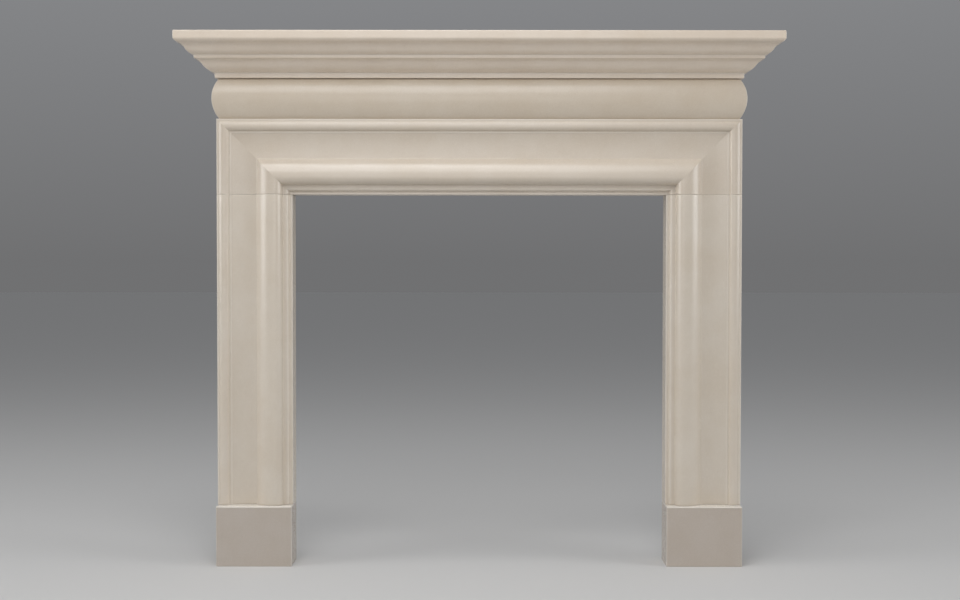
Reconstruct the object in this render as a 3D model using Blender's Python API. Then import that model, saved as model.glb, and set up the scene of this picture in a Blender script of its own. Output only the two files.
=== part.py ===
"""Stone fireplace surround: moulded mantelshelf, cushion frieze, bolection lintel and legs, two plinths.

Metres, +Z up, the front faces -Y, the back is the wall plane and the floor is z = 0.
Seven separate stones stand on and beside each other with a hairline joint between them.
"""
import math

import bmesh
import bpy

# Opening that the surround frames
OPENING_WIDTH = 0.914
OPENING_HEIGHT = 0.907
JOINT = 0.0003

# Bolection moulding: widths of its members, from the outer edge towards the opening
OUTER_FILLET_WIDTH = 0.0065
BEAD_OUTER_WIDTH = 0.012
BEAD_INNER_WIDTH = 0.011
QUIRK_WIDTH = 0.005
COVE_WIDTH = 0.0625
TORUS_OUTER_WIDTH = 0.045
TORUS_INNER_WIDTH = 0.019
INNER_FILLET_WIDTH = 0.0095
CAVETTO_WIDTH = 0.006
EDGE_FILLET_WIDTH = 0.0075

# Bolection moulding: how far each member stands off the wall plane
OUTER_FILLET_FRONT = 0.070
BEAD_FRONT = 0.0745
QUIRK_FRONT = 0.0665
COVE_FRONT = 0.0653
CREASE_FRONT = 0.0632
COVE_HOLLOW = 0.003
TORUS_FRONT = 0.088
INNER_FILLET_FRONT = 0.069
EDGE_FILLET_FRONT = 0.061
ARRIS_EASING = 0.0015

# Bolection moulding: how far each round turns between its foot and its crest, in degrees
BEAD_OUTER_TURN = 62
BEAD_INNER_TURN = 80
TORUS_OUTER_TURN = 57
TORUS_INNER_TURN = 88
CAVETTO_TURN = 70

# Plinth blocks, flush with the sides of the legs
PLINTH_HEIGHT = 0.147
PLINTH_FRONT = 0.0963
PLINTH_EASING = 0.003

# Frieze: its edges stand back from the lintel and its cushion swells past it
FRIEZE_HEIGHT = 0.0982
FRIEZE_SETBACK = 0.006
FRIEZE_SWELL = 0.016

# Mantelshelf members from the bottom up: heights, and projections past the lintel's outer edge
BED_FILLET_HEIGHT = 0.013
BED_FILLET_OUT = 0.003
LOWER_OVOLO_START = 0.0042
LOWER_OVOLO_HEIGHT = 0.022
LOWER_OVOLO_OUT = 0.0315
LOWER_OVOLO_BULGE = 0.0037
LOWER_HOLLOW_HEIGHT = 0.008
LOWER_HOLLOW_BULGE = 0.0015
MIDDLE_FILLET_HEIGHT = 0.008
MIDDLE_FILLET_OUT = 0.0457
UPPER_OVOLO_START = 0.0467
UPPER_OVOLO_HEIGHT = 0.0147
UPPER_OVOLO_OUT = 0.0645
UPPER_OVOLO_BULGE = 0.0026
UPPER_HOLLOW_HEIGHT = 0.0118
UPPER_HOLLOW_OUT = 0.0795
UPPER_HOLLOW_BULGE = 0.002
SHELF_THICKNESS = 0.0263
SHELF_OUT = 0.0875
SHELF_ROUND_HEIGHT = 0.0075
SHELF_ROUND_BULGE = 0.0014
SHELF_EASING = 0.0025

# Sizes that follow from the driving ones
MOULDING_WIDTH = (
    OUTER_FILLET_WIDTH + BEAD_OUTER_WIDTH + BEAD_INNER_WIDTH + QUIRK_WIDTH + COVE_WIDTH
    + TORUS_OUTER_WIDTH + TORUS_INNER_WIDTH + INNER_FILLET_WIDTH + CAVETTO_WIDTH + EDGE_FILLET_WIDTH
)
REVEAL_X = OPENING_WIDTH / 2
OUTER_X = REVEAL_X + MOULDING_WIDTH
LINTEL_TOP = OPENING_HEIGHT + MOULDING_WIDTH
FRIEZE_TOP = LINTEL_TOP + FRIEZE_HEIGHT
BACK_Y = (OUTER_FILLET_FRONT + SHELF_OUT) / 2

# Facets on one member
EASING_STEPS = 4
SMALL_STEPS = 10
LARGE_STEPS = 24
SHARP_ANGLE = 25
MERGE_DISTANCE = 1e-6

STONE_COLOUR = (0.62, 0.54, 0.44)
STONE_ROUGHNESS = 0.42


def bowed(start, end, bulge, steps):
    """Points of a circular arc after start, up to end; a positive bulge lies right of the way it runs."""
    chord = math.dist(start, end)
    along = ((end[0] - start[0]) / chord, (end[1] - start[1]) / chord)
    across = (along[1], -along[0])
    half_turn = 2 * math.atan(2 * bulge / chord)
    radius = chord / (2 * math.sin(half_turn))
    points = []
    for step in range(1, steps + 1):
        angle = half_turn * (2 * step / steps - 1)
        forward = chord / 2 + radius * math.sin(angle)
        sideways = radius * (math.cos(angle) - math.cos(half_turn))
        points.append((
            start[0] + forward * along[0] + sideways * across[0],
            start[1] + forward * along[1] + sideways * across[1],
        ))
    return points


def swelling(foot, crest, turn, steps):
    """Points of an elliptical arc after foot, up to crest, where it ends level after a turn in degrees."""
    full_turn = math.radians(turn)
    reach = (crest[0] - foot[0]) / math.sin(full_turn)
    rise = (crest[1] - foot[1]) / (1 - math.cos(full_turn))
    points = []
    for step in range(1, steps + 1):
        angle = full_turn * (1 - step / steps)
        points.append((crest[0] - reach * math.sin(angle), crest[1] - rise * (1 - math.cos(angle))))
    return points


def falling(crest, foot, turn, steps):
    """The same arc the other way, from a crest down to its foot."""
    rising = [foot] + swelling(foot, crest, turn, steps)
    return rising[::-1][1:]


def quarter_round(corner, inwards):
    """Points that ease the arris at a corner, from the side of the moulding round to its front."""
    points = []
    for step in range(EASING_STEPS + 1):
        angle = math.radians(90) * step / EASING_STEPS
        across = corner[0] + inwards * ARRIS_EASING * (1 - math.cos(angle))
        points.append((across, corner[1] - ARRIS_EASING * (1 - math.sin(angle))))
    return points


def bolection_profile():
    """(distance in from the outer edge, distance off the wall) across lintel and legs."""
    bead_start = OUTER_FILLET_WIDTH
    bead_crest = bead_start + BEAD_OUTER_WIDTH
    quirk_start = bead_crest + BEAD_INNER_WIDTH
    cove_start = quirk_start + QUIRK_WIDTH
    crease = cove_start + COVE_WIDTH
    torus_crest = crease + TORUS_OUTER_WIDTH
    inner_fillet_start = torus_crest + TORUS_INNER_WIDTH
    cavetto_start = inner_fillet_start + INNER_FILLET_WIDTH
    edge_fillet_start = cavetto_start + CAVETTO_WIDTH

    points = quarter_round((0, OUTER_FILLET_FRONT), 1)
    points += [(bead_start, OUTER_FILLET_FRONT)]
    crest = (bead_crest, BEAD_FRONT)
    points += swelling(points[-1], crest, BEAD_OUTER_TURN, SMALL_STEPS)
    points += falling(crest, (quirk_start, QUIRK_FRONT), BEAD_INNER_TURN, SMALL_STEPS)
    points += [(cove_start, QUIRK_FRONT), (cove_start, COVE_FRONT)]
    points += bowed(points[-1], (crease, CREASE_FRONT), COVE_HOLLOW, LARGE_STEPS)
    crest = (torus_crest, TORUS_FRONT)
    points += swelling(points[-1], crest, TORUS_OUTER_TURN, LARGE_STEPS)
    points += falling(crest, (inner_fillet_start, INNER_FILLET_FRONT), TORUS_INNER_TURN, LARGE_STEPS)
    points += [(cavetto_start, INNER_FILLET_FRONT)]
    points += falling(points[-1], (edge_fillet_start, EDGE_FILLET_FRONT), CAVETTO_TURN, SMALL_STEPS)
    points += quarter_round((MOULDING_WIDTH, EDGE_FILLET_FRONT), -1)[::-1]
    return points


def shelf_profile():
    """(projection past the lintel's outer edge, height) of the mantelshelf, from its bed up to its top."""
    level = FRIEZE_TOP + JOINT
    points = [(BED_FILLET_OUT, level)]
    level = FRIEZE_TOP + BED_FILLET_HEIGHT
    points += [(BED_FILLET_OUT, level), (LOWER_OVOLO_START, level)]
    level += LOWER_OVOLO_HEIGHT
    points += bowed(points[-1], (LOWER_OVOLO_OUT, level), LOWER_OVOLO_BULGE, SMALL_STEPS)
    level += LOWER_HOLLOW_HEIGHT
    points += bowed(points[-1], (MIDDLE_FILLET_OUT, level), -LOWER_HOLLOW_BULGE, SMALL_STEPS)
    level += MIDDLE_FILLET_HEIGHT
    points += [(MIDDLE_FILLET_OUT, level), (UPPER_OVOLO_START, level)]
    level += UPPER_OVOLO_HEIGHT
    points += bowed(points[-1], (UPPER_OVOLO_OUT, level), UPPER_OVOLO_BULGE, SMALL_STEPS)
    level += UPPER_HOLLOW_HEIGHT
    points += bowed(points[-1], (UPPER_HOLLOW_OUT, level), -UPPER_HOLLOW_BULGE, SMALL_STEPS)
    shelf_top = level + SHELF_THICKNESS
    points += bowed(points[-1], (SHELF_OUT, level + SHELF_ROUND_HEIGHT), SHELF_ROUND_BULGE, SMALL_STEPS)
    points += [(SHELF_OUT, shelf_top - SHELF_EASING)]
    points += eased_top(SHELF_OUT, shelf_top, SHELF_EASING)
    return points


def frieze_profile():
    """(projection past the lintel's outer edge, height) of the cushion."""
    foot = (-FRIEZE_SETBACK, LINTEL_TOP + JOINT)
    head = (-FRIEZE_SETBACK, FRIEZE_TOP)
    return [foot] + bowed(foot, head, FRIEZE_SWELL, LARGE_STEPS)


def eased_top(out, top, easing):
    """Quarter round that takes the edge off a vertical face under a flat top."""
    points = []
    for step in range(1, EASING_STEPS + 1):
        angle = math.radians(90) * step / EASING_STEPS
        points.append((out - easing * (1 - math.cos(angle)), top - easing * (1 - math.sin(angle))))
    return points


def returned_rings(profile):
    """Rings of a course whose moulding runs along the front and returns, mitred, to the wall at both ends."""
    rings = []
    for out, height in profile:
        x = OUTER_X + out
        front_y = BACK_Y - OUTER_FILLET_FRONT - out
        corners = ((-x, BACK_Y), (-x, front_y), (x, front_y), (x, BACK_Y))
        rings.append([(corner_x, corner_y, height) for corner_x, corner_y in corners])
    return rings


def bolection_section():
    """Closed section of the moulding: its front profile, and the wall plane behind it."""
    front = bolection_profile()
    return front + [(MOULDING_WIDTH, 0), (0, 0)]


def lintel_rings():
    """Sections of the lintel: on the left leg, at both mitres and on the right leg."""
    section = bolection_section()
    left_foot = [(inset - OUTER_X, BACK_Y - front, OPENING_HEIGHT) for inset, front in section]
    left_mitre = [(inset - OUTER_X, BACK_Y - front, LINTEL_TOP - inset) for inset, front in section]
    right_mitre = [(-x, y, z) for x, y, z in left_mitre]
    right_foot = [(-x, y, z) for x, y, z in left_foot]
    return [left_foot, left_mitre, right_mitre, right_foot]


def leg_rings(side):
    """Foot and head of a leg; side is -1 on the left and 1 on the right."""
    section = bolection_section()
    rings = []
    for height in (PLINTH_HEIGHT + JOINT, OPENING_HEIGHT - JOINT):
        rings.append([(side * (OUTER_X - inset), BACK_Y - front, height) for inset, front in section])
    return rings


def plinth_rings(side):
    """Block under a leg, with its top edge eased on the three sides that show."""
    profile = [(0, 0), (0, PLINTH_HEIGHT - PLINTH_EASING)] + eased_top(0, PLINTH_HEIGHT, PLINTH_EASING)
    rings = []
    for out, height in profile:
        front_y = BACK_Y - PLINTH_FRONT - out
        inner = side * (REVEAL_X - out)
        outer = side * (OUTER_X + out)
        corners = ((inner, BACK_Y), (inner, front_y), (outer, front_y), (outer, BACK_Y))
        rings.append([(x, y, height) for x, y in corners])
    return rings


def stone_material(name):
    """Cream stone with a honed surface."""
    material = bpy.data.materials.new(name)
    material.use_nodes = True
    shader = material.node_tree.nodes["Principled BSDF"]
    shader.inputs["Base Color"].default_value = (*STONE_COLOUR, 1)
    shader.inputs["Roughness"].default_value = STONE_ROUGHNESS
    shader.inputs["Metallic"].default_value = 0
    material.diffuse_color = (*STONE_COLOUR, 1)
    return material


def add_stone(name, rings):
    """One closed solid whose rings are joined side by side, with a flat face at each end."""
    shape = bmesh.new()
    rows = [[shape.verts.new(point) for point in ring] for ring in rings]
    for row, next_row in zip(rows, rows[1:]):
        for index in range(len(row)):
            after = (index + 1) % len(row)
            shape.faces.new((row[index], row[after], next_row[after], next_row[index]))
    shape.faces.new(rows[0])
    shape.faces.new(rows[-1])
    bmesh.ops.remove_doubles(shape, verts=shape.verts, dist=MERGE_DISTANCE)
    bmesh.ops.recalc_face_normals(shape, faces=shape.faces)
    mesh = bpy.data.meshes.new(name)
    shape.to_mesh(mesh)
    shape.free()
    mesh.shade_smooth()
    mesh.set_sharp_from_angle(angle=math.radians(SHARP_ANGLE))
    mesh.materials.append(stone_material(name + "_stone"))
    stone = bpy.data.objects.new(name, mesh)
    bpy.context.scene.collection.objects.link(stone)


def build():
    """Lays the seven stones from the floor up."""
    for old in list(bpy.data.objects):
        bpy.data.objects.remove(old, do_unlink=True)
    for name, side in (("left", -1), ("right", 1)):
        add_stone("plinth_" + name, plinth_rings(side))
        add_stone("leg_" + name, leg_rings(side))
    add_stone("lintel", lintel_rings())
    add_stone("frieze", returned_rings(frieze_profile()))
    add_stone("mantelshelf", returned_rings(shelf_profile()))


build()
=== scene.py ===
# %% [markdown]
# # A cream stone fireplace surround
#
# Seven stones make this surround: two plinth blocks, two legs, a lintel, a cushion-shaped frieze and a
# moulded mantelshelf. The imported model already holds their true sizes, so this script only makes
# their surfaces finer and gives them a honed stone finish. The frame is loaded first, because every size
# below is read from it.

# %% Load the fixed frame
import math

import bmesh
import bpy
import numpy as np
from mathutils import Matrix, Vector


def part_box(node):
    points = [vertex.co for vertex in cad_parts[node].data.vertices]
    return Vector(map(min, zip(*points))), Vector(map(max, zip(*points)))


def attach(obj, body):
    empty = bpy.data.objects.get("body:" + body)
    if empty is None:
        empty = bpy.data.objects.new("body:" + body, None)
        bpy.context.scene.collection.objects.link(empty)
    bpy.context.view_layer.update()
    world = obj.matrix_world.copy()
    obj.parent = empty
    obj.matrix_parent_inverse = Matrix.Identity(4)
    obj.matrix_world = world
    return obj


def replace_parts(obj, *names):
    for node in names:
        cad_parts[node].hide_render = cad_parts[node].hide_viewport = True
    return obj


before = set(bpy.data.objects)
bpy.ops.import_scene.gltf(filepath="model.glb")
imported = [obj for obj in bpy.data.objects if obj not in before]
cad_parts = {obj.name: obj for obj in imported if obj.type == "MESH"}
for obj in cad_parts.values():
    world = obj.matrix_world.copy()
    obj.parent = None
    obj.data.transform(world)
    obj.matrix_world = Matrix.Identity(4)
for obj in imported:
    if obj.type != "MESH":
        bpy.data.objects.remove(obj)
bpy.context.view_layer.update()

# %% [markdown]
# ## Sizes of the stones
#
# A mason sets the surround out from a few lines: the opening, the width of the moulding and the heights of
# the courses. All of them are edges of the stones in the frame, so they are read from the stones' boxes
# and not typed again. That way a surface made here can never drift off the stone that it stands for.

# %% Read the setting-out lines
leg_low, leg_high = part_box("leg_right")
lintel_low, lintel_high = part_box("lintel")
frieze_low, frieze_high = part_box("frieze")
shelf_low, shelf_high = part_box("mantelshelf")
plinth_low, plinth_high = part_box("plinth_right")

BACK_Y = lintel_high.y
REVEAL_X = leg_low.x
OUTER_X = leg_high.x
MOULDING_WIDTH = OUTER_X - REVEAL_X
TORUS_FRONT = BACK_Y - leg_low.y
PLINTH_DEPTH = BACK_Y - plinth_low.y
OPENING_HEIGHT = lintel_low.z
LINTEL_TOP = lintel_high.z
print(f"opening {2 * REVEAL_X:.3f} by {OPENING_HEIGHT:.3f} m, moulding {MOULDING_WIDTH:.3f} m wide")

# %% [markdown]
# ## Drawing a moulding
#
# A moulding is drawn as a section: straight fillets, and round members that are arcs. Two arcs are enough
# for classical work. A bowed line is a piece of a circle given by how far it bulges from its chord. A
# swelling is a piece of an ellipse that rises from its foot and ends level at its crest, which is what
# a bead or a torus does. Both are short formulas, so the whole arc comes out of one array.

# %% Arcs of the members
ARC_POINTS = 41


def bowed(start, end, bulge):
    """Circular arc: the half turn is 2 atan(2 bulge / chord), the radius is chord / (2 sin half turn)."""
    start = np.array(start)
    end = np.array(end)
    chord = np.linalg.norm(end - start)
    along = (end - start) / chord
    across = np.array([along[1], -along[0]])
    half_turn = 2 * np.arctan(2 * bulge / chord)
    radius = chord / (2 * np.sin(half_turn))
    angle = np.linspace(-half_turn, half_turn, ARC_POINTS)[:, None]
    forward = chord / 2 + radius * np.sin(angle)
    return start + along * forward + across * radius * (np.cos(angle) - np.cos(half_turn))


def swelling(foot, crest, turn):
    """Elliptical arc: crest minus (reach sin a, rise (1 - cos a)), where a falls from the turn to 0."""
    foot = np.array(foot)
    crest = np.array(crest)
    full_turn = math.radians(turn)
    reach = (crest[0] - foot[0]) / math.sin(full_turn)
    rise = (crest[1] - foot[1]) / (1 - math.cos(full_turn))
    angle = np.linspace(full_turn, 0, ARC_POINTS)[:, None]
    return crest - np.hstack([reach * np.sin(angle), rise * (1 - np.cos(angle))])


print("an arc is worked out at", len(bowed((0, 0), (1, 0), 0.1)), "points")

# %% [markdown]
# ## Softened arrises
#
# No edge on a finished stone is perfectly sharp: the rubbing stone takes about a millimetre off it, and
# it fills the bottom of each crease a little. A Bevel modifier could do this, but it treats each
# edge alone. Here the section is first sampled every quarter of a millimetre and then averaged with its
# neighbours, as blunting does on the real stone. The same samples tell how sharply the line turns, and
# that becomes two masks: "arris" where it turns outwards, and "crease" where it turns inwards. A bend
# gentler than GENTLE_BEND, in radians per metre, belongs to a round member and stays out of both.

# %% Sampling, softening and turning of a line
FINE = 0.00025
SAME_POINT = 1e-9
RUBBED = 0.0009
MASK_REACH = 0.0016
GENTLE_BEND = 100.0
SHARP_BEND = 420.0


def evenly(points, spacing):
    """Same line with its points evenly apart: both coordinates are read off by length along the line."""
    steps = np.linalg.norm(np.diff(points, axis=0), axis=1)
    points = points[np.concatenate([[True], steps > SAME_POINT])]
    run = np.concatenate([[0], np.cumsum(np.linalg.norm(np.diff(points, axis=0), axis=1))])
    even = np.linspace(0, run[-1], round(run[-1] / spacing) + 1)
    return np.column_stack([np.interp(even, run, points[:, 0]), np.interp(even, run, points[:, 1])])


def averaged(values, reach, closed):
    """Each value becomes the mean of its neighbours under a bell that ends at twice its reach."""
    half = round(2 * reach / FINE)
    weights = np.exp(-0.5 * (np.arange(-half, half + 1) * FINE / reach) ** 2)
    weights /= weights.sum()
    if closed:
        padded = np.concatenate([values[-half:], values, values[:half]])
    else:
        head = 2 * values[:1] - values[half:0:-1]
        tail = 2 * values[-1:] - values[-2:-half - 2:-1]
        padded = np.concatenate([head, values, tail])
    columns = padded.reshape(len(padded), -1).T
    smooth = np.array([np.convolve(column, weights, mode="valid") for column in columns]).T
    return smooth.reshape(values.shape)


def bend(points, closed):
    """Turn per metre along the line: the change of direction between samples over the FINE spacing."""
    if closed:
        before = points - np.roll(points, 1, axis=0)
        after = np.roll(points, -1, axis=0) - points
    else:
        step = np.diff(points, axis=0)
        before = np.concatenate([step[:1], step])
        after = np.concatenate([step, step[-1:]])
    cross = before[:, 0] * after[:, 1] - before[:, 1] * after[:, 0]
    turn = np.arctan2(cross, (before * after).sum(axis=1))
    return turn / FINE


print("softening reaches", RUBBED * 1000, "mm, masks", MASK_REACH * 1000, "mm")

# %% [markdown]
# ## Points where they are needed
#
# A quarter of a millimetre is too fine for the flat parts, which would only cost triangles. So each
# stretch of the line is given a cost, its length over the widest gap allowed plus its turn over the
# largest turn allowed, and the points are spread at equal cost. The flats end up with a point every few
# millimetres, and each arris with a point every few degrees.

# %% Spread the points by length and turn
WIDEST_GAP = 0.005
LARGEST_TURN = math.radians(4)


def drawn(points, closed):
    """Softened section with its masks: an array of columns (across, out, arris, crease)."""
    fine = evenly(np.array(points, float), FINE)
    if closed:
        fine = fine[:-1]
    fine = averaged(fine, RUBBED, closed)
    turning = bend(fine, closed)
    sharpness = np.clip((np.abs(turning) - GENTLE_BEND) / (SHARP_BEND - GENTLE_BEND), 0, 1)
    arris = averaged(np.where(turning < 0, sharpness, 0), MASK_REACH, closed)
    crease = averaged(np.where(turning > 0, sharpness, 0), MASK_REACH, closed)
    table = np.column_stack([fine, arris, crease])
    if closed:
        table = np.vstack([table, table[:1]])
        turning = np.append(turning, turning[0])
    gaps = np.linalg.norm(np.diff(table[:, :2], axis=0), axis=1)
    turns = np.abs(turning[1:] + turning[:-1]) / 2 * FINE
    cost = np.concatenate([[0], np.cumsum(gaps / WIDEST_GAP + turns / LARGEST_TURN)])
    wanted = np.linspace(0, cost[-1], math.ceil(cost[-1]) + 1)
    spread = np.column_stack([np.interp(wanted, cost, column) for column in table.T])
    return spread[:-1] if closed else spread


print("widest gap", WIDEST_GAP * 1000, "mm, largest turn", round(math.degrees(LARGEST_TURN)), "degrees")

# %% [markdown]
# ## The bolection moulding
#
# The moulding round the opening is a bolection: it stands well out from the wall, and it is highest at a
# fat torus near the fire. From the outer edge in, it runs fillet, bead, quirk, shallow cove, torus, fillet,
# small quarter round and edge fillet. The legs and the lintel carry the same section, so it is drawn
# once, as distance in from the outer edge against distance off the wall, and closed along the wall.

# %% Section of the bolection
MM = 0.001
outer_fillet = 70.0 * MM
bead_start = 6.5 * MM
bead_crest = bead_start + 12.0 * MM
quirk_start = bead_crest + 11.0 * MM
cove_start = quirk_start + 5.0 * MM
crease_at = cove_start + 62.5 * MM
torus_crest = crease_at + 45.0 * MM
inner_fillet_start = torus_crest + 19.0 * MM
quarter_start = inner_fillet_start + 9.5 * MM
edge_start = quarter_start + 6.0 * MM
bead_front = 74.5 * MM
quirk_front = 66.5 * MM
cove_front = 65.3 * MM
crease_front = 63.2 * MM
inner_fillet_front = 69.0 * MM
edge_front = 61.0 * MM

bolection = drawn(np.vstack([
    [(0, 0), (0, outer_fillet), (bead_start, outer_fillet)],
    swelling((bead_start, outer_fillet), (bead_crest, bead_front), turn=62),
    swelling((quirk_start, quirk_front), (bead_crest, bead_front), turn=80)[::-1],
    [(cove_start, quirk_front), (cove_start, cove_front)],
    bowed((cove_start, cove_front), (crease_at, crease_front), bulge=3.0 * MM),
    swelling((crease_at, crease_front), (torus_crest, TORUS_FRONT), turn=57),
    swelling((inner_fillet_start, inner_fillet_front), (torus_crest, TORUS_FRONT), turn=88)[::-1],
    [(quarter_start, inner_fillet_front)],
    swelling((edge_start, edge_front), (quarter_start, inner_fillet_front), turn=70)[::-1],
    [(MOULDING_WIDTH, edge_front), (MOULDING_WIDTH, 0), (0, 0)],
]), closed=True)
print("bolection section:", len(bolection), "points, torus", TORUS_FRONT * 1000, "mm off the wall")

# %% [markdown]
# ## From a grid of points to a stone
#
# Every stone here is a tube of quads: rows are sections, one after the other along a path, and each row
# closes on itself. The two end rows are filled with one flat face each. Points that fall on one
# another, as they do where a mitre meets the corner of the opening, are merged, and the faces are
# then turned outwards.

# %% Make a closed piece from rows of points
MERGE = 1e-6


def stone_from_rows(name, rows, arris, crease):
    """rows is (row, point, xyz); faces join point (i, j) to (i, j + 1), (i + 1, j + 1) and (i + 1, j)."""
    count, width = rows.shape[:2]
    index = np.arange(count * width).reshape(count, width)
    after = np.roll(index, -1, axis=1)
    quads = np.stack([index[:-1], after[:-1], after[1:], index[1:]], axis=-1).reshape(-1, 4)
    mesh = bpy.data.meshes.new(name)
    mesh.from_pydata(rows.reshape(-1, 3), [], quads.tolist() + [index[0].tolist(), index[-1].tolist()])
    for title, mask in (("arris", arris), ("crease", crease)):
        layer = mesh.attributes.new(title, "FLOAT", "POINT")
        layer.data.foreach_set("value", np.ascontiguousarray(mask, np.float32).ravel())
    shape = bmesh.new()
    shape.from_mesh(mesh)
    bmesh.ops.remove_doubles(shape, verts=shape.verts, dist=MERGE)
    bmesh.ops.recalc_face_normals(shape, faces=shape.faces)
    shape.to_mesh(mesh)
    shape.free()
    mesh.shade_smooth()
    piece = bpy.data.objects.new(name, mesh)
    bpy.context.scene.collection.objects.link(piece)
    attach(piece, "root")
    print(name, "has", len(mesh.vertices), "points and", len(mesh.polygons), "faces")
    return piece


print("piece maker ready")

# %% [markdown]
# ## The ends of a stone
#
# Where two stones meet, the joint shows as a thin dark line, because the ends of both are blunted too.
# A quarter turn does it: while the section moves off the end by r (1 - cos a), it grows from r too small
# to full size by r (1 - sin a). Moving each point along its own normal would make the line cross itself in
# the tight creases, and a flat end face can't be filled then. So the whole section shrinks towards
# the middle of its back, which keeps its shape and can never cross.

# %% The quarter turn at an end
END_ROUND = 0.0013
END_ROWS = 4
# Paleness of the blunted end rows: rubbing wear, and a painted highlight on the arris below each joint
# line.
END_WEAR_AND_HIGHLIGHT = 0.3


def end_turn():
    """Columns (shrink, rise) of the quarter turn from the joint face out to the full section."""
    angle = np.linspace(0, math.pi / 2, END_ROWS + 1)
    return np.column_stack([END_ROUND * (1 - np.sin(angle)), END_ROUND * (1 - np.cos(angle))])


def shrunk(amount):
    """Bolection moved towards the middle of its back: its widest and foremost points move by the amount."""
    middle = np.array([MOULDING_WIDTH / 2, 0])
    reach = np.array([MOULDING_WIDTH / 2, TORUS_FRONT])
    return bolection[:, :2] - amount[..., None] * (bolection[:, :2] - middle) / reach


print("joint ends turn over", END_ROUND * 1000, "mm in", END_ROWS, "rows")

# %% [markdown]
# ## Legs
#
# A leg is the section carried straight up. The left and right legs mirror each other, and because
# the section is only ever measured in from the outer edge, one sign makes either of them.

# %% Build the two legs
LEG_ROWS = 24


def build_leg(name, side):
    """x = side (outer edge - inset), y = wall - front, z runs from the plinth to the lintel."""
    low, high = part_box(name)
    shrink, rise = end_turn().T
    middle = np.linspace(low.z + END_ROUND, high.z - END_ROUND, LEG_ROWS)[1:-1]
    heights = np.concatenate([low.z + rise, middle, high.z - rise[::-1]])
    offsets = np.concatenate([shrink, np.zeros(len(middle)), shrink[::-1]])
    plane = shrunk(offsets[:, None])
    rows = np.stack([
        side * (OUTER_X - plane[:, :, 0]),
        BACK_Y - plane[:, :, 1],
        np.broadcast_to(heights[:, None], plane.shape[:2]),
    ], axis=-1)
    blunt = (offsets > 0)[:, None]
    # The end rows are painted paler: wear, and a painted highlight below the joint.
    arris = np.maximum(bolection[:, 2], blunt * END_WEAR_AND_HIGHLIGHT)
    crease = np.broadcast_to(bolection[:, 3], arris.shape)
    piece = stone_from_rows(name.replace("leg", "fine_leg"), rows, arris, crease)
    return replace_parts(piece, name)


legs = [build_leg("leg_left", -1), build_leg("leg_right", 1)]

# %% [markdown]
# ## Lintel
#
# The lintel carries the moulding over the opening and turns it down on both legs, with a mitre at each
# corner. A point that lies at a given inset goes up to the mitre, across to the other one and down again.
# On each of those three runs the share t goes from 0 to 1, and the rows crowd together at both its ends,
# which keeps the corner crisp without any need for sharp edges. Near the opening the upright runs shrink
# to nothing, so the blunting of the feet fades out there.

# %% Build the lintel
UPRIGHT_ROWS = 14
CROSS_ROWS = 44
FADE_HEIGHT = 0.006


def crowded(count):
    """Numbers from 0 to 1 that crowd at both ends: (1 - cos pi s) / 2, taken twice."""
    even = (1 - np.cos(np.pi * np.linspace(0, 1, count))) / 2
    return (1 - np.cos(np.pi * even)) / 2


def build_lintel():
    """z = foot + t (mitre - foot) on the uprights, x = outer edge - inset with the sign of the run."""
    inset = bolection[:, 0]
    upright = LINTEL_TOP - inset - OPENING_HEIGHT
    fade = np.clip(upright / FADE_HEIGHT, 0, 1)
    shrink, rise = end_turn().T
    foot_plane = shrunk(shrink[:, None] * fade)
    foot_z = OPENING_HEIGHT + rise[:, None] * fade
    climb = crowded(UPRIGHT_ROWS)[1:, None]
    start = foot_z[-1]
    climb_z = start + climb * (OPENING_HEIGHT + upright - start)
    left_inset = np.vstack([foot_plane[:, :, 0], np.broadcast_to(inset, climb_z.shape)])
    left_front = np.vstack([foot_plane[:, :, 1], np.broadcast_to(bolection[:, 1], climb_z.shape)])
    left = np.stack([left_inset - OUTER_X, BACK_Y - left_front, np.vstack([foot_z, climb_z])], axis=-1)
    right = left[::-1] * (-1, 1, 1)
    across = crowded(CROSS_ROWS)[1:-1, None, None]
    cross = left[-1] + across * (right[0] - left[-1])
    rows = np.vstack([left, cross, right])
    ends = np.concatenate([shrink, np.zeros(len(rows) - 2 * len(shrink)), shrink[::-1]]) > 0
    # The foot rows are painted paler: wear, and a painted highlight at the joint.
    arris = np.maximum(bolection[:, 2], ends[:, None] * END_WEAR_AND_HIGHLIGHT * fade)
    crease = np.broadcast_to(bolection[:, 3], arris.shape)
    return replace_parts(stone_from_rows("fine_lintel", rows, arris, crease), "lintel")


lintel = build_lintel()

# %% [markdown]
# ## Courses that return to the wall
#
# The frieze, the mantelshelf and the plinths are stacks of level outlines. Each outline is a rectangle
# with its corners just rounded, and the moulding decides how far the front and the two ends stand
# out at each height. One table of (sign x, sign y, angle) walks round such a rectangle, so the
# outline at any height is the same short formula with other sizes. Every section starts a little way in
# under its stone and ends a little way in on top. There the outline also leaves the wall, so that the
# flat top and underside are level up to their last row and shade evenly.

# %% Walk round a rectangle with eased corners
CORNER_ROUND = 0.0012
CORNER_ROWS = 5
CORNER_ARRIS = 0.6
CAP_RUN = 0.012


def walk(front_points, side_points):
    """Table of (sign x, sign y, angle) for corners and the runs between them, starting back left."""
    signs = np.array([(-1, 1), (-1, -1), (1, -1), (1, 1)], float)
    starts = np.radians([90, 180, 270, 360])
    parts = []
    for number, length in enumerate((side_points, front_points, side_points, front_points)):
        corner = signs[number]
        following = signs[(number + 1) % 4]
        angle = starts[number] + np.linspace(0, math.pi / 2, CORNER_ROWS + 1)
        parts.append(np.column_stack([np.tile(corner, (len(angle), 1)), angle]))
        share = crowded(length)[1:-1, None]
        run = corner + share * (following - corner)
        parts.append(np.column_stack([run, np.full(len(run), angle[-1])]))
    return np.vstack(parts)


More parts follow.
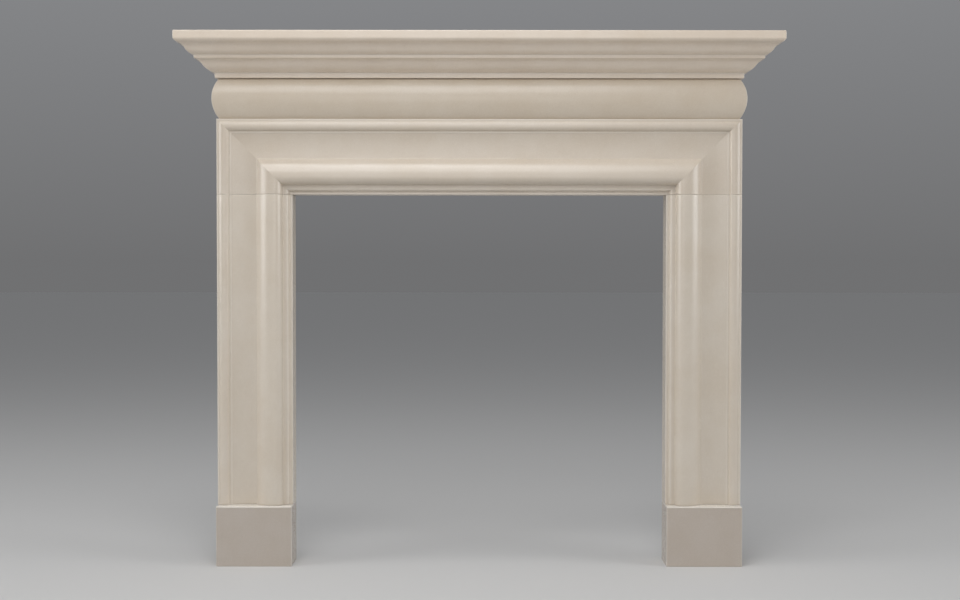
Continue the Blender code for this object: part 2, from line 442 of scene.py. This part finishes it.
def course(name, node, section, centre_x, half_width, depth, table):
    """x = centre + sign (half width + out - r) + r cos a, and the same for y between front and wall.

    A row less than CAP_RUN along the section from either end stands off the wall by the difference.
    """
    out = section[:, :1]
    run = np.append(0, np.cumsum(np.linalg.norm(np.diff(section[:, :2], axis=0), axis=1)))
    off_wall = np.maximum(CAP_RUN - np.minimum(run, run[-1] - run), 0)[:, None]
    sign_x, sign_y, angle = table.T
    half_depth = (depth + out - off_wall) / 2
    middle_y = BACK_Y - off_wall - half_depth
    x = centre_x + sign_x * (half_width + out - CORNER_ROUND) + CORNER_ROUND * np.cos(angle)
    y = middle_y + sign_y * (half_depth - CORNER_ROUND) + CORNER_ROUND * np.sin(angle)
    z = np.broadcast_to(section[:, 1:2], x.shape)
    on_corner = (np.abs(sign_x) == 1) & (np.abs(sign_y) == 1)
    arris = np.maximum(section[:, 2:3], on_corner * CORNER_ARRIS)
    crease = np.broadcast_to(section[:, 3:4], x.shape)
    piece = stone_from_rows(name, np.stack([x, y, z], axis=-1), arris, crease)
    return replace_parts(piece, node)


print("a corner is eased over", CORNER_ROUND * 1000, "mm in", CORNER_ROWS, "steps")

# %% [markdown]
# ## Frieze
#
# The frieze is a cushion: in section a single arc that stands back from the lintel at its foot and head
# and swells past it in the middle. The section runs a little way in under and over the stone, so that
# the arrises at the joints are softened with the rest.

# %% Build the frieze
FRIEZE_SETBACK = 6.0 * MM
FRIEZE_SWELL = frieze_high.x - OUTER_X + FRIEZE_SETBACK
frieze_section = drawn(np.vstack([
    [(-FRIEZE_SETBACK - CAP_RUN, frieze_low.z)],
    bowed((-FRIEZE_SETBACK, frieze_low.z), (-FRIEZE_SETBACK, frieze_high.z), bulge=FRIEZE_SWELL),
    [(-FRIEZE_SETBACK - CAP_RUN, frieze_high.z)],
]), closed=False)
frieze = course(
    "fine_frieze", "frieze", frieze_section,
    centre_x=0, half_width=OUTER_X, depth=outer_fillet, table=walk(front_points=48, side_points=14),
)
print("frieze section:", len(frieze_section), "points, swell", FRIEZE_SWELL * 1000, "mm")

# %% [markdown]
# ## Mantelshelf
#
# The shelf's edge steps out from the frieze in three waves: a bed fillet, an ovolo running into a small
# hollow, a middle fillet, a second ovolo and hollow, and the fascia of the shelf itself with a rounded
# lower edge. Heights are counted up from the frieze and projections out from the lintel, as a mason
# writes them on a full-size drawing.

# %% Build the mantelshelf
bed_out = 3.0 * MM
lower_ovolo_start = 4.2 * MM
lower_ovolo_out = 31.5 * MM
middle_fillet_out = 45.7 * MM
upper_ovolo_start = 46.7 * MM
upper_ovolo_out = 64.5 * MM
upper_hollow_out = 79.5 * MM
shelf_out = shelf_high.x - OUTER_X
shelf_easing = 2.5 * MM
easing_foot = shelf_high.z - shelf_easing
member_heights = [13.0, 22.0, 8.0, 8.0, 14.7, 11.8]
levels = frieze_high.z + MM * np.cumsum(member_heights)
bed_top, lower_ovolo_top, lower_hollow_top, middle_fillet_top, upper_ovolo_top, upper_hollow_top = levels
fascia_foot = upper_hollow_top + 7.5 * MM

shelf_section = drawn(np.vstack([
    [(bed_out - CAP_RUN, shelf_low.z), (bed_out, shelf_low.z), (bed_out, bed_top)],
    bowed((lower_ovolo_start, bed_top), (lower_ovolo_out, lower_ovolo_top), bulge=3.7 * MM),
    bowed((lower_ovolo_out, lower_ovolo_top), (middle_fillet_out, lower_hollow_top), bulge=-1.5 * MM),
    [(middle_fillet_out, middle_fillet_top)],
    bowed((upper_ovolo_start, middle_fillet_top), (upper_ovolo_out, upper_ovolo_top), bulge=2.6 * MM),
    bowed((upper_ovolo_out, upper_ovolo_top), (upper_hollow_out, upper_hollow_top), bulge=-2.0 * MM),
    bowed((upper_hollow_out, upper_hollow_top), (shelf_out, fascia_foot), bulge=1.4 * MM),
    bowed((shelf_out, easing_foot), (shelf_out - shelf_easing, shelf_high.z), bulge=0.73 * MM),
    [(shelf_out - CAP_RUN, shelf_high.z)],
]), closed=False)
mantelshelf = course(
    "fine_mantelshelf", "mantelshelf", shelf_section,
    centre_x=0, half_width=OUTER_X, depth=outer_fillet, table=walk(front_points=56, side_points=16),
)
print("shelf section:", len(shelf_section), "points, projection", round(shelf_out * 1000, 1), "mm")

# %% [markdown]
# ## Plinths
#
# The legs stand on plain blocks that are a little deeper than the moulding and flush with its sides. Their
# top edge is eased by about three millimetres. It and the top itself are painted paler than the front,
# with the arris mask at its full value: a painted highlight for the pale line where the top catches the
# light.

# %% Build the plinths
PLINTH_EASING = 3.0 * MM
plinth_section = drawn(np.vstack([
    [(-CAP_RUN, 0), (0, 0), (0, plinth_high.z - PLINTH_EASING)],
    bowed((0, plinth_high.z - PLINTH_EASING), (-PLINTH_EASING, plinth_high.z), bulge=0.88 * MM),
    [(-CAP_RUN, plinth_high.z)],
]), closed=False)
# The eased edge and the top take the full arris mask, which paints a highlight on them.
painted_top_highlight = plinth_section[:, 1] > plinth_high.z - PLINTH_EASING
plinth_section[:, 2] = np.maximum(plinth_section[:, 2], painted_top_highlight)
half_moulding = MOULDING_WIDTH / 2
plinths = [
    course(
        "fine_plinth_" + name, "plinth_" + name, plinth_section,
        centre_x=side * (REVEAL_X + half_moulding), half_width=half_moulding, depth=PLINTH_DEPTH,
        table=walk(front_points=20, side_points=14),
    )
    for name, side in (("left", -1), ("right", 1))
]
print("plinth section:", len(plinth_section), "points, depth", round(PLINTH_DEPTH * 1000, 1), "mm")

# %% [markdown]
# ## Effects that every stone shares
#
# Honed cream stone is almost plain. Its colour drifts in faint clouds, it has a very fine grain with
# a few tiny pits, its arrises are rubbed a little paler (on the plinth tops and the joint ends this is
# also a painted highlight) and its creases are darker with a trace of dust and painted shade. Each effect
# is a node group that takes a position or a mask and gives back a mask, so each stone can use it at its own
# strength.

# %% Helpers that place nodes
def add_node(tree, kind, values=None, **settings):
    """New node with its settings and the default values of its inputs."""
    node = tree.nodes.new(kind)
    for name, value in settings.items():
        setattr(node, name, value)
    for name, value in (values or {}).items():
        node.inputs[name].default_value = value
    return node


def new_group(name, takes, gives):
    """Node group with inputs and outputs given as (name, socket type) pairs."""
    group = bpy.data.node_groups.new(name, "ShaderNodeTree")
    for title, kind in takes:
        group.interface.new_socket(title, in_out="INPUT", socket_type=kind)
    for title, kind in gives:
        group.interface.new_socket(title, in_out="OUTPUT", socket_type=kind)
    entry = group.nodes.new("NodeGroupInput")
    leave = group.nodes.new("NodeGroupOutput")
    return group, entry.outputs, leave.inputs


print("node helpers ready")

# %% Clouds
def clouds_group():
    """Two noises, one as broad as a brick is long and one as an egg, added and stretched to 0..1."""
    group, given, result = new_group(
        "stone_clouds", [("Position", "NodeSocketVector")], [("Mask", "NodeSocketFloat")]
    )
    link = group.links.new
    broad = add_node(group, "ShaderNodeTexNoise", {"Scale": 4.5, "Detail": 3.0, "Roughness": 0.55})
    close = add_node(group, "ShaderNodeTexNoise", {"Scale": 17.0, "Detail": 4.0, "Roughness": 0.6})
    both = add_node(group, "ShaderNodeMath", operation="ADD")
    spread = add_node(group, "ShaderNodeMapRange", {"From Min": 0.75, "From Max": 1.25})
    link(given["Position"], broad.inputs["Vector"])
    link(given["Position"], close.inputs["Vector"])
    link(broad.outputs["Fac"], both.inputs[0])
    link(close.outputs["Fac"], both.inputs[1])
    link(both.outputs[0], spread.inputs["Value"])
    link(spread.outputs["Result"], result["Mask"])
    return group


# %% Grain and pits
def grain_group():
    """Grain is a fine noise; pits are the few cells of a cell pattern whose own random number is high."""
    group, given, result = new_group(
        "stone_grain",
        [("Position", "NodeSocketVector")],
        [("Grain", "NodeSocketFloat"), ("Pits", "NodeSocketFloat")],
    )
    link = group.links.new
    fine = add_node(group, "ShaderNodeTexNoise", {"Scale": 900.0, "Detail": 3.0, "Roughness": 0.65})
    cells = add_node(group, "ShaderNodeTexVoronoi", {"Scale": 140.0, "Randomness": 1.0})
    near = add_node(group, "ShaderNodeMapRange", {"From Min": 0.2, "From Max": 0.08})
    chosen = add_node(group, "ShaderNodeSeparateColor")
    few = add_node(group, "ShaderNodeMapRange", {"From Min": 0.93, "From Max": 0.98})
    pits = add_node(group, "ShaderNodeMath", operation="MULTIPLY")
    link(given["Position"], fine.inputs["Vector"])
    link(given["Position"], cells.inputs["Vector"])
    link(cells.outputs["Distance"], near.inputs["Value"])
    link(cells.outputs["Color"], chosen.inputs["Color"])
    link(chosen.outputs["Red"], few.inputs["Value"])
    link(near.outputs["Result"], pits.inputs[0])
    link(few.outputs["Result"], pits.inputs[1])
    link(fine.outputs["Fac"], result["Grain"])
    link(pits.outputs[0], result["Pits"])
    return group


clouds = clouds_group()
grain = grain_group()
print("groups:", clouds.name, "and", grain.name)

# %% [markdown]
# ## Honed stone
#
# Marble shows veins, but this stone has none: it is an even cream with a soft sheen, so a plain shader
# carries it as long as its colour, gloss and surface all vary a little. Every stone was cut from its
# own place in the block, so each one reads the pattern at another offset and has its own tone. The
# plinths are toned far darker than the rest, which is partly their own tone and partly painted shade
# at the foot of the surround. The backs stay as the saw left them, since the wall hides them.

# %% Mix and scale helpers
def mixed(tree, mask, first, second):
    """Colour mix: first where the mask is 0 and second where it is 1; both may be colours or sockets."""
    node = add_node(tree, "ShaderNodeMix", data_type="RGBA")
    tree.links.new(mask, node.inputs[0])
    for socket, value in ((node.inputs[6], first), (node.inputs[7], second)):
        if isinstance(value, bpy.types.NodeSocket):
            tree.links.new(value, socket)
        else:
            socket.default_value = (*value, 1)
    return node.outputs[2]


def scaled(tree, value, low, high, start=0.0, end=1.0):
    """Line through (start, low) and (end, high), held at both ends."""
    node = add_node(
        tree, "ShaderNodeMapRange",
        {"From Min": start, "From Max": end, "To Min": low, "To Max": high},
    )
    tree.links.new(value, node.inputs["Value"])
    return node.outputs["Result"]


def mesh_mask(tree, name):
    """Mask that the stone's mesh carries under this name."""
    return add_node(tree, "ShaderNodeAttribute", attribute_name=name).outputs["Fac"]


print("mix helpers ready")

# %% Honed stone material
CREAM = (0.70, 0.62, 0.52)
PALE_CLOUD = (0.735, 0.665, 0.575)
# Pale edge colour: rubbing wear on the arrises, and a painted highlight on the plinth tops and joint ends.
RUBBED_AND_LIT_EDGE = (0.86, 0.81, 0.74)
# Dark dust colour: it stains the pits, and in the creases it is a trace of dust plus painted shade.
DUST_AND_SHADE = (0.47, 0.39, 0.30)
PIT_STAIN = 0.35
EDGE_WEAR_AND_HIGHLIGHT = 0.75
CREASE_DUST_AND_SHADE = 0.1
SAWN = (0.58, 0.52, 0.45)
SAWN_ROUGHNESS = 0.8
SAWN_DEPTH = 0.0004
GRAIN_SPAN = (0.3, 0.7)
HONED_ROUGHNESS = (0.20, 0.32)
POLISH = 0.8
PIT_DEPTH = 0.8
BUMP_STRENGTH = 0.25
BUMP_HEIGHT = 0.0003


def toned(colour, tone):
    """Colour of one block of stone: the common colour times that block's own tone, channel by channel."""
    return [channel * factor for channel, factor in zip(colour, tone)]


def honed_stone(name, offset, tone):
    """Cream stone: clouds in its colour, grain in its gloss and bump, arrises paler with wear and painted
    highlight, creases darker with dust and painted shade.
    """
    material = bpy.data.materials.new(name)
    material.use_nodes = True
    tree = material.node_tree
    link = tree.links.new
    shader = tree.nodes["Principled BSDF"]
    shader.inputs["Specular IOR Level"].default_value = POLISH
    place = add_node(tree, "ShaderNodeTexCoord")
    shift = add_node(tree, "ShaderNodeMapping", {"Location": offset})
    link(place.outputs["Object"], shift.inputs["Vector"])
    cloud = add_node(tree, "ShaderNodeGroup", node_tree=clouds)
    fleck = add_node(tree, "ShaderNodeGroup", node_tree=grain)
    link(shift.outputs[0], cloud.inputs["Position"])
    link(shift.outputs[0], fleck.inputs["Position"])
    body = mixed(tree, cloud.outputs["Mask"], toned(CREAM, tone), toned(PALE_CLOUD, tone))
    speck = mixed(tree, scaled(tree, fleck.outputs["Pits"], 0.0, PIT_STAIN), body, DUST_AND_SHADE)
    # Arrises are mixed towards the pale edge colour: wear, and on the plinth tops and joint ends a painted
    # highlight.
    rubbed_and_lit = mixed(tree, scaled(tree, mesh_mask(tree, "arris"), 0.0, EDGE_WEAR_AND_HIGHLIGHT), speck, RUBBED_AND_LIT_EDGE)
    # Creases are mixed towards the dark dust colour: a trace of dust plus painted shade.
    dusted_and_shaded = mixed(tree, scaled(tree, mesh_mask(tree, "crease"), 0.0, CREASE_DUST_AND_SHADE), rubbed_and_lit, DUST_AND_SHADE)
    apart = add_node(tree, "ShaderNodeSeparateXYZ")
    link(place.outputs["Object"], apart.inputs[0])
    back = scaled(tree, apart.outputs["Y"], 0.0, 1.0, BACK_Y - SAWN_DEPTH, BACK_Y - SAWN_DEPTH / 2)
    link(mixed(tree, back, dusted_and_shaded, SAWN), shader.inputs["Base Color"])
    gloss = scaled(tree, fleck.outputs["Grain"], *HONED_ROUGHNESS, *GRAIN_SPAN)
    link(mixed(tree, back, gloss, [SAWN_ROUGHNESS] * 3), shader.inputs["Roughness"])
    sink = add_node(tree, "ShaderNodeMath", {1: -PIT_DEPTH}, operation="MULTIPLY")
    link(fleck.outputs["Pits"], sink.inputs[0])
    height = add_node(tree, "ShaderNodeMath", operation="ADD")
    link(fleck.outputs["Grain"], height.inputs[0])
    link(sink.outputs[0], height.inputs[1])
    bump = add_node(tree, "ShaderNodeBump", {"Strength": BUMP_STRENGTH, "Distance": BUMP_HEIGHT})
    link(height.outputs[0], bump.inputs["Height"])
    link(bump.outputs["Normal"], shader.inputs["Normal"])
    return material


# Offset and tone of each stone. The plinths' low tone is partly painted shade near the floor.
FINISHES = {
    "fine_mantelshelf": ((0.0, 0.0, 0.0), (1.02, 0.98, 0.95)),
    "fine_frieze": ((3.1, 1.7, 0.4), (0.875, 0.84, 0.79)),
    "fine_lintel": ((7.3, 0.2, 2.6), (0.89, 0.87, 0.85)),
    "fine_leg_left": ((1.9, 5.5, 4.2), (0.93, 0.92, 0.905)),
    "fine_leg_right": ((8.8, 3.3, 6.1), (0.92, 0.912, 0.90)),
    "fine_plinth_left": ((4.4, 7.2, 1.3), (0.695, 0.68, 0.69)),
    "fine_plinth_right": ((6.6, 2.9, 8.5), (0.705, 0.685, 0.69)),
}
for piece in [mantelshelf, frieze, lintel, *legs, *plinths]:
    offset, tone = FINISHES[piece.name]
    piece.data.materials.append(honed_stone(piece.name + "_stone", offset, tone))
print("finished", len(FINISHES), "stones")

# %% [markdown]
# ## Floor, light and camera
#
# A matt pale floor reaches far back, and the world behind it starts in the floor's own tone at the horizon
# and grows paler above, like a studio sweep, so no line shows where they meet.

# %% Floor and backdrop
FLOOR_SIZE = 60.0
FLOOR_COLOUR = (0.66, 0.655, 0.645)
FLOOR_ROUGHNESS = 0.9
HORIZON_COLOUR = (0.163, 0.164, 0.167)
UPPER_COLOUR = (0.25, 0.255, 0.265)
PALE_FROM = 0.22


def build_floor():
    """Square of paint at z = 0."""
    mesh = bpy.data.meshes.new("studio_floor")
    half = FLOOR_SIZE / 2
    corners = [(-half, -half, 0), (half, -half, 0), (half, half, 0), (-half, half, 0)]
    mesh.from_pydata(corners, [], [(0, 1, 2, 3)])
    floor = bpy.data.objects.new("studio_floor", mesh)
    bpy.context.scene.collection.objects.link(floor)
    paint = bpy.data.materials.new("floor_paint")
    paint.use_nodes = True
    shader = paint.node_tree.nodes["Principled BSDF"]
    shader.inputs["Base Color"].default_value = (*FLOOR_COLOUR, 1)
    shader.inputs["Roughness"].default_value = FLOOR_ROUGHNESS
    mesh.materials.append(paint)


def build_world():
    """Colour by how steeply a ray climbs: the horizon's at Z = 0, the upper one from Z = PALE_FROM."""
    world = bpy.data.worlds.new("studio_world")
    world.use_nodes = True
    tree = world.node_tree
    apart = add_node(tree, "ShaderNodeSeparateXYZ")
    tree.links.new(add_node(tree, "ShaderNodeTexCoord").outputs["Generated"], apart.inputs[0])
    climb = scaled(tree, apart.outputs["Z"], 0.0, 1.0, 0.0, PALE_FROM)
    backdrop = mixed(tree, climb, HORIZON_COLOUR, UPPER_COLOUR)
    tree.links.new(backdrop, tree.nodes["Background"].inputs["Color"])
    bpy.context.scene.world = world


build_floor()
build_world()
print("floor and backdrop are plain")

# %% [markdown]
# Five soft square lights do what the photograph shows. The main one hangs in front and well above the
# shelf, so the round of the torus shines. One almost overhead brightens each upper edge, and one near
# the camera reaches the upright fillets. Two far out at the sides graze the legs, so that both flanks
# of their torus shine and the flat between stays quiet. The first three stand near enough for the light
# to fall off towards the plinths.

# %% Lights
AIM = (0.0, 0.0, 0.75)
SOFT_LIGHTS = {
    "front": ((-0.3, -1.9, 3.05), 2.0, 34.0),
    "overhead": ((-0.31, -0.77, 3.63), 1.4, 16.0),
    "level": ((-0.2, -3.2, 1.5), 1.6, 8.0),
    "side_left": ((-4.8, -1.6, 1.9), 2.6, 72.0),
    "side_right": ((4.8, -1.6, 1.9), 2.6, 70.0),
}


def add_light(name, place, size, watts):
    """Square area light that looks from its place to the aim."""
    data = bpy.data.lights.new(name, "AREA")
    data.size = size
    data.energy = watts
    light = bpy.data.objects.new(name, data)
    bpy.context.scene.collection.objects.link(light)
    light.location = place
    light.rotation_euler = (Vector(AIM) - light.location).to_track_quat("-Z", "Y").to_euler()


for name, (place, size, watts) in SOFT_LIGHTS.items():
    add_light(name, place, size, watts)
bpy.context.scene.view_settings.view_transform = "Standard"
print("studio lit by", ", ".join(SOFT_LIGHTS))

# %% Camera
IMAGE_WIDTH = 960
FOCAL_PIXELS = 1445.0
SENSOR_WIDTH = 36.0
CAMERA_DISTANCE = 3.6
CAMERA_HEIGHT = 0.7466
CAMERA_X = 0.0017
CAMERA_TILT = math.radians(1.573)
CAMERA_ROLL = -0.0008

lens = bpy.data.cameras.new("camera")
lens.sensor_width = SENSOR_WIDTH
lens.lens = FOCAL_PIXELS / IMAGE_WIDTH * SENSOR_WIDTH
camera = bpy.data.objects.new("camera", lens)
bpy.context.scene.collection.objects.link(camera)
camera.location = (CAMERA_X, BACK_Y - CAMERA_DISTANCE, CAMERA_HEIGHT)
camera.rotation_euler = (math.pi / 2 - CAMERA_TILT, CAMERA_ROLL, 0)
bpy.context.scene.camera = camera
print("camera", CAMERA_DISTANCE, "m from the wall plane, lens", round(lens.lens, 1), "mm")
